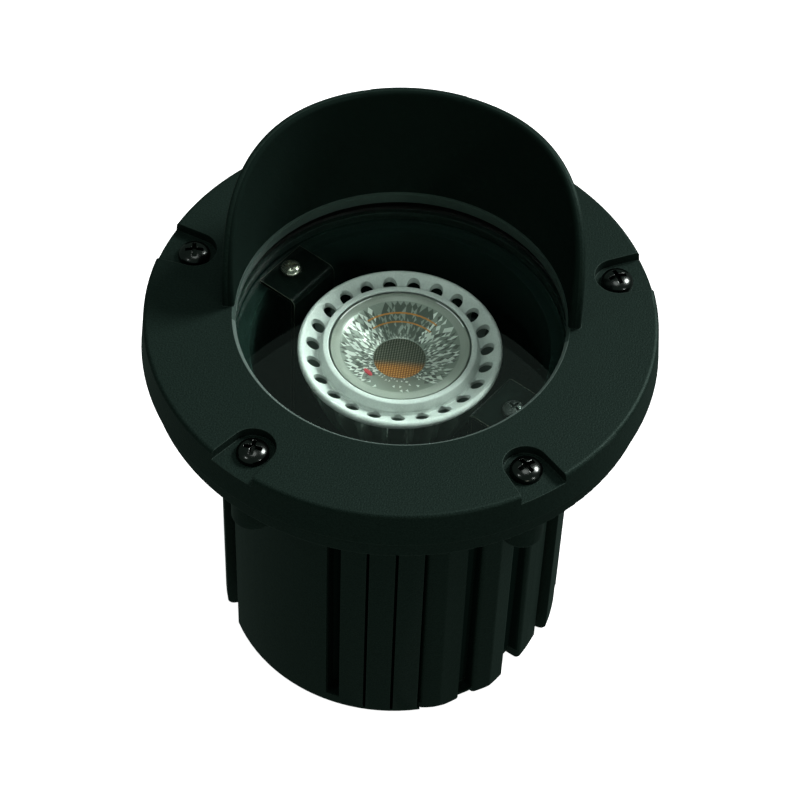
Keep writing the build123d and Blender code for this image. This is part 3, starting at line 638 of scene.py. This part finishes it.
fin_tree, fin_in, fin_out = new_tree("ring_of_fins", [
    ("Fins", "Int"),
    ("First Turn", "Float"),
    ("Material", "Material"),
])
fin_nodes = fin_tree.nodes
fin_links = fin_tree.links
fin_places = fin_nodes.new("GeometryNodePoints")
fin_links.new(fin_in.outputs["Fins"], fin_places.inputs["Count"])
fin_index = fin_nodes.new("GeometryNodeInputIndex")
share = fin_nodes.new("ShaderNodeMath")
share.operation = "DIVIDE"
fin_links.new(fin_index.outputs[0], share.inputs[0])
fin_links.new(fin_in.outputs["Fins"], share.inputs[1])
fin_turn = fin_nodes.new("ShaderNodeMath")
fin_turn.operation = "MULTIPLY_ADD"
fin_turn.inputs[1].default_value = 2 * pi
fin_links.new(share.outputs[0], fin_turn.inputs[0])
fin_links.new(fin_in.outputs["First Turn"], fin_turn.inputs[2])
fin_rotation = fin_nodes.new("ShaderNodeCombineXYZ")
fin_links.new(fin_turn.outputs[0], fin_rotation.inputs["Z"])
fins = fin_nodes.new("GeometryNodeInstanceOnPoints")
fin_links.new(fin_places.outputs[0], fins.inputs["Points"])
fin_links.new(fin_in.outputs["Geometry"], fins.inputs["Instance"])
fin_links.new(fin_rotation.outputs[0], fins.inputs["Rotation"])
end_tree(fin_tree, fins.outputs[0], fin_in, fin_out)

fin_thickness = 1.3 * mm
fin_inset = 0.8 * mm
fin_bend = 7 * mm
fin_waist_radius = 16.2 * mm
fin_middle_radius = 19.5 * mm
fin_shoulder_radius = 22.3 * mm
fin_outline = [
    Vector((neck_radius - cup_wall, neck_low)),
    Vector((neck_radius + fin_inset, neck_low)),
    Vector((fin_waist_radius, neck_low + fin_bend)),
    Vector((fin_middle_radius, (neck_low + crown_low) / 2)),
    Vector((fin_shoulder_radius, crown_low - fin_bend)),
    Vector((crown_radius - fin_inset, crown_low + 0.1 * mm)),
    Vector((cup_radius - cup_wall / 2, dish_low - 1.2 * mm)),
]
fin = bmesh.new()
plate = fin.faces.new([fin.verts.new((p.x, -fin_thickness / 2, p.y)) for p in fin_outline])
across = bmesh.ops.extrude_face_region(fin, geom=[plate])
moved = [v for v in across["geom"] if isinstance(v, bmesh.types.BMVert)]
bmesh.ops.translate(fin, verts=moved, vec=(0, fin_thickness, 0))
bmesh.ops.recalc_face_normals(fin, faces=fin.faces)
fin_mesh = bpy.data.meshes.new("lamp_fin")
fin.to_mesh(fin_mesh)
fin.free()
lamp_fins = finished("lamp_fins", fin_mesh, fin_tree, {
    "Fins": hole_count,
    "First Turn": first_hole + pi / hole_count,
    "Material": painted_shade_white,
})
fin_softening = lamp_fins.modifiers.new("edge", "BEVEL")
fin_softening.width = 0.2 * mm
fin_softening.segments = 2
fin_softening.limit_method = "ANGLE"
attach(lamp_fins, "lamp")

mouth_radius = 16.1 * mm
board_pocket_radius = 13.1 * mm
board_pocket_rim = cup_floor + 1.2 * mm
cup_outline = softened([
    Vector((0, neck_low)),
    Vector((neck_radius, neck_low)),
    Vector((cup_radius, cup_floor)),
    Vector((cup_radius, bezel_seat)),
    Vector((mouth_radius, bezel_seat)),
    Vector((board_pocket_radius, board_pocket_rim)),
    Vector((board_pocket_radius, cup_floor)),
    Vector((0, cup_floor)),
], 0.3 * mm, 2)
cup = bpy.data.objects.new("lamp_cup", turned_mesh("lamp_cup", cup_outline, segments=96))
cup.data.materials.append(painted_shade_white)
scene.collection.objects.link(cup)
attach(cup, "lamp")
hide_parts("lamp_heat_sink")

# The light source: a white board screwed to the cup's floor, with a round
# emitter on it. The emitter is a field of small chips under one layer of amber
# phosphor.
board_white, board_white_shader = new_finish(
    "white_board_resist", (0.78, 0.79, 0.76), roughness=0.35
)
add_grain(board_white, board_white_shader, cell=0.7 * mm, height=0.015 * mm)
dress("led_board", board_white)
phosphor, phosphor_shader = new_finish("amber_phosphor", (0.80, 0.36, 0.05), roughness=0.35)
chip_pitch = 0.62 * mm
chip_tones = ((0.86, 0.42, 0.07), (0.42, 0.15, 0.02))
phosphor_links = phosphor.node_tree.links
chip_place = phosphor.node_tree.nodes.new("ShaderNodeTexCoord")
chips = phosphor.node_tree.nodes.new("ShaderNodeTexVoronoi")
chips.inputs["Scale"].default_value = 1 / chip_pitch
chips.inputs["Randomness"].default_value = 0.0
chip_tone = tone_ramp(phosphor, chips.outputs["Distance"], (0.25, 0.55), chip_tones)
phosphor_links.new(chip_place.outputs["Object"], chips.inputs["Vector"])
phosphor_links.new(chip_tone, phosphor_shader.inputs["Base Color"])
dress("led_emitter", phosphor)

# The optic: one clear moulding. Its back is a bowl of diamond facets that
# turn the light forward as mirrors do, round a dotted entry lens that stands
# over the emitter, and a smooth rim runs round it under the bezel.
emitter_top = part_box("led_emitter")[1].z
optic_front = crest + 0.1 * mm
rim_radius = 16.8 * mm
bowl_radius = 14.5 * mm
bowl_top = optic_front - 0.35 * mm
bowl_curve = 1.12
entry_radius = 6.35 * mm
entry_height = optic_front - 4.85 * mm
optic_back = emitter_top + 0.5 * mm
rim_back = bezel_seat + 0.1 * mm
facet_count = 60
facet_rows = 12
facet_bulge = 0.12 * mm
bright, half_lit, shaded, rim_finish = range(4)


def bowl_height(radius):
    rise = (radius - entry_radius) / (bowl_radius - entry_radius)
    return entry_height + (bowl_top - entry_height) * rise ** bowl_curve


def ring_of_points(mesh, radius, height, shift=0.0):
    turns = [2 * pi * (i + shift) / facet_count for i in range(facet_count)]
    return [mesh.verts.new((radius * cos(a), radius * sin(a), height)) for a in turns]


def chance(number):
    """A share from 0 to 1 that jumps about from one number to the next."""
    stride, start, spread = 12.9898, 4.1, 43758.5453
    return sin(number * stride + start) * spread % 1.0


def facet_tone(place, number):
    """Picks a facet's finish: mixed at the sides, mostly shaded behind and
    mostly half lit in front."""
    draw = chance(number)
    if abs(place.x) > 0.55 * place.xy.length:
        return bright if draw < 0.35 else half_lit if draw < 0.75 else shaded
    if place.y > 0:
        return shaded if draw < 0.7 else half_lit
    return half_lit if draw < 0.92 else bright


optic = bmesh.new()
row_share = (entry_radius / bowl_radius) ** (1 / facet_rows)
rows = []
for row in range(facet_rows + 1):
    radius = bowl_radius * row_share ** row
    rows.append(ring_of_points(optic, radius, bowl_height(radius), (row % 2) / 2))
for row in range(facet_rows - 1):
    for i in range(facet_count):
        odd = row % 2
        left = rows[row + 1][(i - 1 + odd) % facet_count]
        right = rows[row + 1][(i + odd) % facet_count]
        corners = [rows[row][i], right, rows[row + 2][i], left]
        middle = sum((v.co for v in corners), Vector()) / 4
        outward = Vector((middle.x, middle.y, 0)).normalized() - Vector((0, 0, 1))
        peak = optic.verts.new(middle + outward.normalized() * facet_bulge)
        for side, (start, end) in enumerate(zip(corners, corners[1:] + corners[:1])):
            facet = optic.faces.new([start, end, peak])
            facet.material_index = facet_tone(middle, (row * facet_count + i) * 2 + side // 2)
last_shift = facet_rows % 2
for i in range(facet_count):
    j = (i + 1) % facet_count
    inner_peak = rows[-2][(i + last_shift) % facet_count]
    outer = optic.faces.new([rows[0][i], rows[0][j], rows[1][i]])
    inner = optic.faces.new([rows[-1][i], rows[-1][j], inner_peak])
    outer.material_index = half_lit
    inner.material_index = half_lit
facets = set(optic.faces)
rim_outline = softened([
    Vector((bowl_radius, bowl_top)),
    Vector((rim_radius - 1.1 * mm, optic_front)),
    Vector((rim_radius, optic_front)),
    Vector((rim_radius, rim_back)),
    Vector((rim_radius - 2.0 * mm, rim_back)),
    Vector((entry_radius + 0.6 * mm, optic_back)),
    Vector((entry_radius, optic_back)),
    Vector((entry_radius, entry_height)),
], 0.25 * mm, 3)
rings = [rows[0]] + [ring_of_points(optic, p.x, p.y) for p in rim_outline[1:-1]] + [rows[-1]]
for lower, upper in zip(rings, rings[1:]):
    for i in range(facet_count):
        j = (i + 1) % facet_count
        optic.faces.new([lower[i], lower[j], upper[j], upper[i]])
bmesh.ops.recalc_face_normals(optic, faces=optic.faces)
for face in optic.faces:
    face.smooth = face not in facets
    if face not in facets:
        face.material_index = rim_finish
optic_mesh = bpy.data.meshes.new("faceted_optic")
optic.to_mesh(optic_mesh)
optic.free()
optic_mesh.set_sharp_from_angle(angle=radians(30))
# Two thin arcs of the emitter's amber on the facets at the rear are a painted reflection, and a
# white arc on the rim is a painted highlight.
amber = (0.75, 0.30, 0.06)
amber_reflection_radii = (10.1 * mm, 12.0 * mm)
amber_reflection_half_width = 0.16 * mm
amber_reflection_start = 0.72
any_height = (0, 1)
facet_finishes = []
for name, colour, roughness in (
    ("facets_that_catch_light", (0.85, 0.88, 0.82), 0.3),
    ("facets_half_lit", (0.36, 0.40, 0.35), 0.25),
    ("facets_in_shade", (0.13, 0.15, 0.125), 0.2),
):
    facet_finish, facet_shader = new_finish(name, colour, roughness, metallic=0.35)
    add_grain(facet_finish, facet_shader, cell=1.4 * mm, height=0.012 * mm)
    for radius in amber_reflection_radii:
        arc = (radius - amber_reflection_half_width, radius + amber_reflection_half_width)
        add_zone(facet_finish, facet_shader, amber, arc, any_height, (amber_reflection_start * radius, 1))
    facet_finishes.append(facet_finish)
rim_plastic, rim_shader = new_finish(
    "clear_rim_plastic", (0.34, 0.365, 0.32), roughness=0.2, specular=0.5
)
add_grain(rim_plastic, rim_shader, cell=1.5 * mm, height=0.006 * mm)
glint_radii = (16.3 * mm, 16.6 * mm)
glint_depths = (7 * mm, 14.4 * mm)
add_zone(rim_plastic, rim_shader, (1, 1, 1), glint_radii, any_height, glint_depths)
faceted_optic = bpy.data.objects.new("faceted_optic", optic_mesh)
for finish in facet_finishes + [rim_plastic]:
    faceted_optic.data.materials.append(finish)
scene.collection.objects.link(faceted_optic)
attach(faceted_optic, "lamp")
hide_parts("lamp_optic")

# The entry lens is dotted with small cells. Its front half is painted in the emitter's amber and
# the rest in grey: painted light, for the emitter as it shows through the front of the lens.
entry_dome = 0.35 * mm
dot_pitch = 0.62 * mm
dot_edges = (0.22, 0.42)
grey_dots = ((0.22, 0.22, 0.17), (0.04, 0.045, 0.03))
amber_dots = ((0.80, 0.36, 0.09), (0.25, 0.08, 0.012))
amber_from = -0.6 * mm
amber_full = -3.6 * mm
entry_outline = [Vector((0, optic_back))] + softened([
    Vector((entry_radius, optic_back)),
    Vector((entry_radius, entry_height)),
    Vector((entry_radius * 0.93, entry_height + 0.10 * mm)),
    Vector((entry_radius * 0.6, entry_height + 0.72 * entry_dome)),
    Vector((entry_radius * 0.3, entry_height + 0.93 * entry_dome)),
    Vector((0, entry_height + entry_dome)),
], 0.3 * mm)
entry_glow, entry_shader = new_finish(
    "dotted_entry_lens", (0.2, 0.17, 0.12), roughness=0.25, specular=0.5
)
entry_nodes = entry_glow.node_tree.nodes
entry_links = entry_glow.node_tree.links
dot_place = entry_nodes.new("ShaderNodeTexCoord")
dot_scale = entry_nodes.new("ShaderNodeMapping")
dot_scale.inputs["Rotation"].default_value = (0, 0, radians(4))
dot_scale.inputs["Scale"].default_value = (1.0, 1.15, 1.0)
dots = entry_nodes.new("ShaderNodeTexVoronoi")
dots.voronoi_dimensions = "2D"
dots.inputs["Scale"].default_value = 1 / dot_pitch
dots.inputs["Randomness"].default_value = 0.0
entry_links.new(dot_place.outputs["Object"], dot_scale.inputs["Vector"])
entry_links.new(dot_scale.outputs["Vector"], dots.inputs["Vector"])
split_place = entry_nodes.new("ShaderNodeSeparateXYZ")
entry_links.new(dot_place.outputs["Object"], split_place.inputs["Vector"])
amber_share = entry_nodes.new("ShaderNodeMapRange")
amber_share.interpolation_type = "SMOOTHSTEP"
amber_share.inputs["From Min"].default_value = amber_from
amber_share.inputs["From Max"].default_value = amber_full
entry_links.new(split_place.outputs["Y"], amber_share.inputs["Value"])
entry_mix = entry_nodes.new("ShaderNodeMix")
entry_mix.data_type = "RGBA"
grey_side, amber_side, dotted = entry_mix.inputs[6], entry_mix.inputs[7], entry_mix.outputs[2]
entry_links.new(amber_share.outputs["Result"], entry_mix.inputs["Factor"])
for side, tones in ((grey_side, grey_dots), (amber_side, amber_dots)):
    entry_links.new(tone_ramp(entry_glow, dots.outputs["Distance"], dot_edges, tones), side)
entry_links.new(dotted, entry_shader.inputs["Base Color"])
dot_bump = entry_nodes.new("ShaderNodeBump")
dot_bump.inputs["Distance"].default_value = -0.08 * mm
entry_links.new(dots.outputs["Distance"], dot_bump.inputs["Height"])
entry_links.new(dot_bump.outputs["Normal"], entry_shader.inputs["Normal"])
entry_mesh = turned_mesh("dotted_entry_lens", entry_outline, segments=72)
entry_lens = bpy.data.objects.new("dotted_entry_lens", entry_mesh)
entry_lens.data.materials.append(entry_glow)
scene.collection.objects.link(entry_lens)
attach(entry_lens, "lamp")

# The red mark: a red spot painted low on the bowl at the front left, a painted reflection of a red
# part of the board below, as the optic shows it.
mark_red, mark_red_shader = new_finish("red_painted_reflection", (0.60, 0.06, 0.08), roughness=0.35)
add_grain(mark_red, mark_red_shader, cell=0.5 * mm, height=0.01 * mm)
mark_radius = 9.7 * mm
mark_angle = radians(221.8)
bowl_slope = radians(29)
mark_outline = [
    Vector((0, -0.2 * mm)),
    Vector((1.05 * mm, -0.2 * mm)),
    Vector((1.0 * mm, 0.2 * mm)),
    Vector((0, 0.3 * mm)),
]
mark_mesh = turned_mesh("red_bowl_mark", mark_outline, segments=24)
mark_place = Matrix.Translation((
    mark_radius * cos(mark_angle),
    mark_radius * sin(mark_angle),
    bowl_height(mark_radius),
))
mark_turn = Matrix.Rotation(mark_angle, 4, "Z") @ Matrix.Rotation(-bowl_slope, 4, "Y")
mark_stretch = Matrix.Diagonal((0.8, 1.35, 1, 1))
mark_mesh.transform(mark_place @ mark_turn @ mark_stretch)
mark = bpy.data.objects.new("red_bowl_mark", mark_mesh)
mark.data.materials.append(mark_red)
scene.collection.objects.link(mark)
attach(mark, "lamp")

# The bezel: a painted ring pressed over the cup, which traps the optic's rim
# and rises a little above the crown.
bezel_inner = 17.2 * mm
bezel_outer = 18.62 * mm
bezel_lip = crest + 0.5 * mm
# Inside, the wall slopes out from the lip to the seat, so the corner at which
# the outline starts and ends is left out.
bezel_outline = softened([
    Vector((bezel_inner, bezel_seat)),
    Vector((cup_radius + 0.6 * mm, bezel_seat)),
    Vector((bezel_outer, bezel_lip)),
    Vector((bezel_inner, bezel_lip)),
    Vector((bezel_inner, bezel_seat)),
], 0.4 * mm, 4)[1:-1]
bezel_mesh = turned_mesh("lamp_bezel_ring", bezel_outline, segments=120, closed=True)
bezel = bpy.data.objects.new("lamp_bezel_ring", bezel_mesh)
bezel.data.materials.append(white)
scene.collection.objects.link(bezel)
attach(bezel, "lamp")
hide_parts("lamp_bezel")

# The cover: ring and hood in one casting, in a coat like the housing's, with a painted highlight
# over its edges. The wall of the opening is painted lighter, as painted light, with a brighter
# painted highlight on its front edge, and inside the hood the coat is one flat tone without sheen:
# painted shade.
cover_coat, cover_shader = powder_coat("black_powder_coat_of_cover", edge_highlight=(0.028, 0.042, 0.036))
wall_radii = (0, 40.3 * mm)
wall_heights = (101 * mm, 105.45 * mm)
wall_front = (-50 * mm, -5 * mm)
hood_radii = (0, 41.3 * mm)
hood_heights = (105.45 * mm, 140 * mm)
hood_painted_shade = (0.008, 0.0155, 0.0125)
# Painted light on the wall of the opening, and a brighter painted highlight on its front edge.
add_zone(cover_coat, cover_shader, (0.04, 0.065, 0.055), wall_radii, wall_heights)
add_zone(cover_coat, cover_shader, (0.11, 0.15, 0.135), wall_radii, wall_heights, wall_front)
# Painted shade inside the hood: one flat tone with no sheen.
add_zone(cover_coat, cover_shader, hood_painted_shade, hood_radii, hood_heights, specular=0.0)
dress("cover", cover_coat)

# The lens: a flat disc of toughened glass in a rubber gasket, clamped
# between the cover's lip and the housing's rim. It lets the lamps' light
# straight through to the well below.
glass_tint = (0.90, 0.97, 0.94)
glass, glass_shader = new_finish("toughened_glass", glass_tint, roughness=0.0)
glass_shader.inputs["Transmission Weight"].default_value = 1.0
glass_shader.inputs["IOR"].default_value = 1.5
glass_nodes = glass.node_tree.nodes
glass_links = glass.node_tree.links
passing = glass_nodes.new("ShaderNodeBsdfTransparent")
passing.inputs["Color"].default_value = (*glass_tint, 1)
ray = glass_nodes.new("ShaderNodeLightPath")
glass_mix = glass_nodes.new("ShaderNodeMixShader")
glass_links.new(ray.outputs["Is Shadow Ray"], glass_mix.inputs[0])
glass_links.new(glass_shader.outputs[0], glass_mix.inputs[1])
glass_links.new(passing.outputs[0], glass_mix.inputs[2])
glass_links.new(glass_mix.outputs[0], glass_nodes["Material Output"].inputs["Surface"])
dress("lens", glass)
dress("lens_gasket", rubber)

# The cover screws: five steel pan heads, plated black, on one bolt circle.
# They go down through the ring's pockets into the tapped bosses of the flange.
cover_shank_radius = 2.0 * mm
cover_head_height = 2.7 * mm
black_plating, black_plating_shader = new_finish(
    "black_screw_plating", (0.055, 0.06, 0.057), roughness=0.2, metallic=1.0
)
add_grain(black_plating, black_plating_shader, cell=0.5 * mm, height=0.01 * mm)
for number, turned_by in enumerate((25, 60, 5, 80, 40), start=1):
    node = f"cover_screw_{number}"
    turn_angle = radians(turned_by)
    cover_screw = pan_head_screw(
        f"cover_pan_screw_{number}",
        node,
        cover_shank_radius,
        cover_head_height,
        turn_angle,
        black_plating,
    )
    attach(cover_screw, node)
    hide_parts(node)
